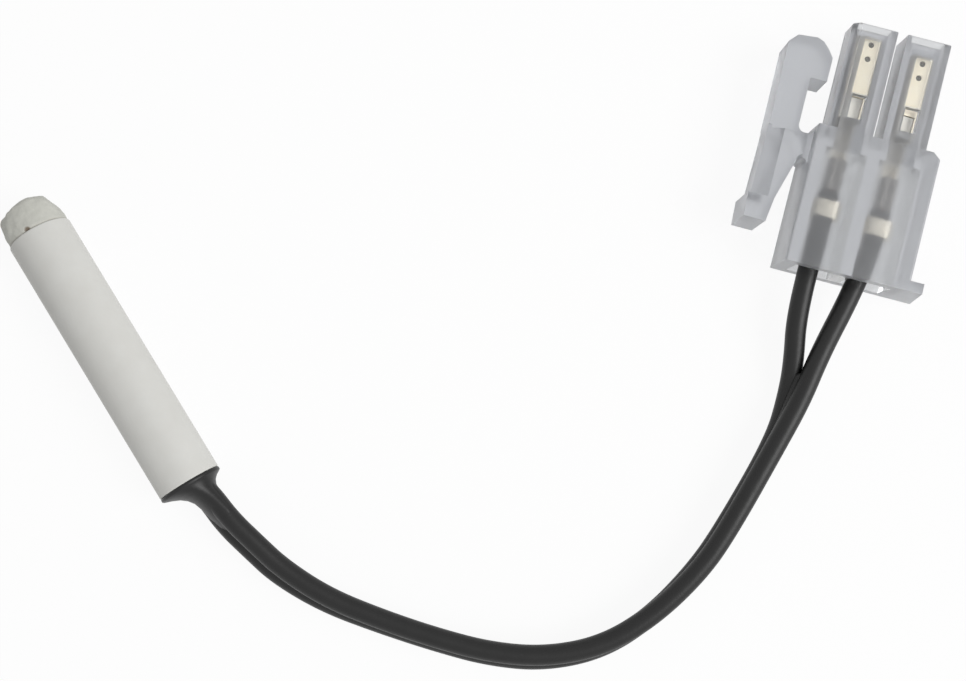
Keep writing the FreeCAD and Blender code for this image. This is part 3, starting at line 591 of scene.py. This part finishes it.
def make_housing():
    """The moulding, with thin nylon over the contacts and inside the cavities, milky elsewhere."""
    shape = merged_copy("connector_housing")
    to_housing = HOUSING_PLACE.inverted()
    cuts = [((x, 0, 0), (1, 0, 0)) for x in (PANE_START, RIGHT_PANE_END, LEFT_PANE_END)]
    for side in (CIRCUIT, -CIRCUIT):
        for half in (PANE_HALF_WIDTH, -PANE_HALF_WIDTH):
            cuts.append(((0, side + half, 0), (0, 1, 0)))
    for place, heading in cuts:
        faces = roofs(shape)
        edges = {edge for face in faces for edge in face.edges}
        verts = {vert for face in faces for vert in face.verts}
        bmesh.ops.bisect_plane(
            shape, geom=faces + list(edges) + list(verts), dist=CUT_SLACK,
            plane_co=HOUSING_PLACE @ Vector(place),
            plane_no=HOUSING_PLACE.to_3x3() @ Vector(heading))
    for face in roofs(shape):
        middle = to_housing @ face.calc_center_median()
        over = abs(abs(middle.y) - CIRCUIT) < PANE_HALF_WIDTH
        pane_end = LEFT_PANE_END if middle.y > 0 else RIGHT_PANE_END
        if over and PANE_START < middle.x < pane_end:
            face.material_index = THIN_NYLON
    for face in shape.faces:
        if abs(face.calc_center_median().z - TOWER_CEILING) < LEVEL_SLACK:
            continue
        inside = all(
            max(abs(abs(point.y) - CIRCUIT), abs(point.z - HOUSING_MIDDLE)) < CAVITY_REACH
            for point in (to_housing @ vert.co for vert in face.verts))
        if inside:
            face.material_index = THIN_NYLON
    milky = nylon("natural_nylon", ("#c2c4c8", "#cbcdd1"), 0.34, 0.84)
    thin = nylon("thin_natural_nylon", ("#fafaf8", "#fdfdfb"), 0.08, 0.96)
    return make_piece("housing", shape, milky, thin)


housing = make_housing()
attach(housing, "root")
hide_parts("connector_housing")

# The floor and the backdrop
# A white table that is larger than any view. It shows as white and keeps a faint soft shadow.

TABLE_SIZE = 3.0
TABLE_GAP = 0.05 * MM
# How much of the card's white is its own, and how much of it lights the part through the nylon.
CARD_GLOW = 0.93
CARD_THROUGH = 0.1
ROOM_LIGHT = 0.40
ROOM_THROUGH = 0.2

table_mesh = bmesh.new()
bmesh.ops.create_grid(table_mesh, x_segments=1, y_segments=1, size=TABLE_SIZE)
bmesh.ops.translate(table_mesh, verts=table_mesh.verts, vec=(0, 0, -TABLE_GAP))
table_data = bpy.data.meshes.new("table_top")
table_mesh.to_mesh(table_data)
table_mesh.free()
table = bpy.data.objects.new("table_top", table_data)
bpy.context.scene.collection.objects.link(table)


def seen_as_white(material, through):
    """1 for what the camera and reflections see, and a given share for light through nylon."""
    path = add_node(material, "LightPath").outputs
    either = add_node(material, "Math", {
        0: path["Is Camera Ray"], 1: path["Is Glossy Ray"],
    }, operation="MAXIMUM")
    passed = add_node(material, "Math", {
        0: path["Is Transmission Ray"], 1: through,
    }, operation="MULTIPLY")
    return add_node(material, "Math", {
        0: either.outputs[0], 1: passed.outputs[0],
    }, operation="MAXIMUM").outputs[0]


def white_table():
    """Matt white card. Most of its white is its own, so that the shadow on it stays faint."""
    material = bpy.data.materials.new("white_card")
    material.use_nodes = True
    tree = material.node_tree
    tree.nodes.clear()
    card = add_node(material, "BsdfDiffuse", {"Color": linear("#fafafa")})
    glow = add_node(material, "Emission", {"Color": linear("#ffffff"), "Strength": 1.0})
    share = add_node(material, "Math", {
        0: seen_as_white(material, CARD_THROUGH), 1: CARD_GLOW,
    }, operation="MULTIPLY")
    mixed = add_node(material, "MixShader", {
        0: share.outputs[0], 1: card.outputs[0], 2: glow.outputs[0],
    })
    output = add_node(material, "OutputMaterial")
    tree.links.new(mixed.outputs[0], output.inputs["Surface"])
    return material


table_data.materials.append(white_table())

# The light is a pale room with one large soft box above, to the right of the picture. The room
# shows as plain white where the table ends.

room = bpy.data.worlds.new("pale_room")
bpy.context.scene.world = room
room.use_nodes = True
room.node_tree.nodes.clear()
walls = add_node(room, "Background", {"Color": linear("#ffffff"), "Strength": ROOM_LIGHT})
backdrop = add_node(room, "Background", {"Color": linear("#ffffff"), "Strength": 1.0})
sky = add_node(room, "MixShader", {
    0: seen_as_white(room, ROOM_THROUGH), 1: walls.outputs[0], 2: backdrop.outputs[0],
})
sky_output = add_node(room, "OutputWorld")
room.node_tree.links.new(sky.outputs[0], sky_output.inputs["Surface"])


def soft_box(name, place, size, power):
    """A square lamp that faces the middle of the part. Place and size are in metres."""
    lamp_data = bpy.data.lights.new(name, "AREA")
    lamp_data.shape = "SQUARE"
    lamp_data.size = size
    lamp_data.energy = power
    lamp = bpy.data.objects.new(name, lamp_data)
    bpy.context.scene.collection.objects.link(lamp)
    lamp.location = place
    facing = PART_MIDDLE - Vector(place)
    lamp.rotation_euler = facing.to_track_quat("-Z", "Y").to_euler()


PART_MIDDLE = Vector((0.015, 0.03, 0))
soft_box("key_light", place=(0.27, 0.30, 0.38), size=0.32, power=1.9)

# The camera looks almost straight down from a hand's breadth above the part. The picture's right
# and its upright are given as directions on the table.

CAMERA_PLACE = (20.519 * MM, 21.745 * MM, 100 * MM)
CAMERA_TILT = math.radians(3.639)
camera_data = bpy.data.cameras.new("camera")
camera_data.sensor_width = 36
camera_data.lens = 46.88
camera_data.clip_start = 0.005
camera_data.clip_end = 10
camera = bpy.data.objects.new("camera", camera_data)
bpy.context.scene.collection.objects.link(camera)
picture_right = Vector((0.52805, 0.84921, 0))
level_up = Vector((-0.84921, 0.52805, 0))
picture_up = level_up * math.cos(CAMERA_TILT) + Vector((0, 0, math.sin(CAMERA_TILT)))
towards_camera = picture_right.cross(picture_up)
axes = Matrix((picture_right, picture_up, towards_camera)).transposed()
camera.matrix_world = Matrix.Translation(CAMERA_PLACE) @ axes.to_4x4()
bpy.context.scene.camera = camera
bpy.context.scene.view_settings.view_transform = "Standard"
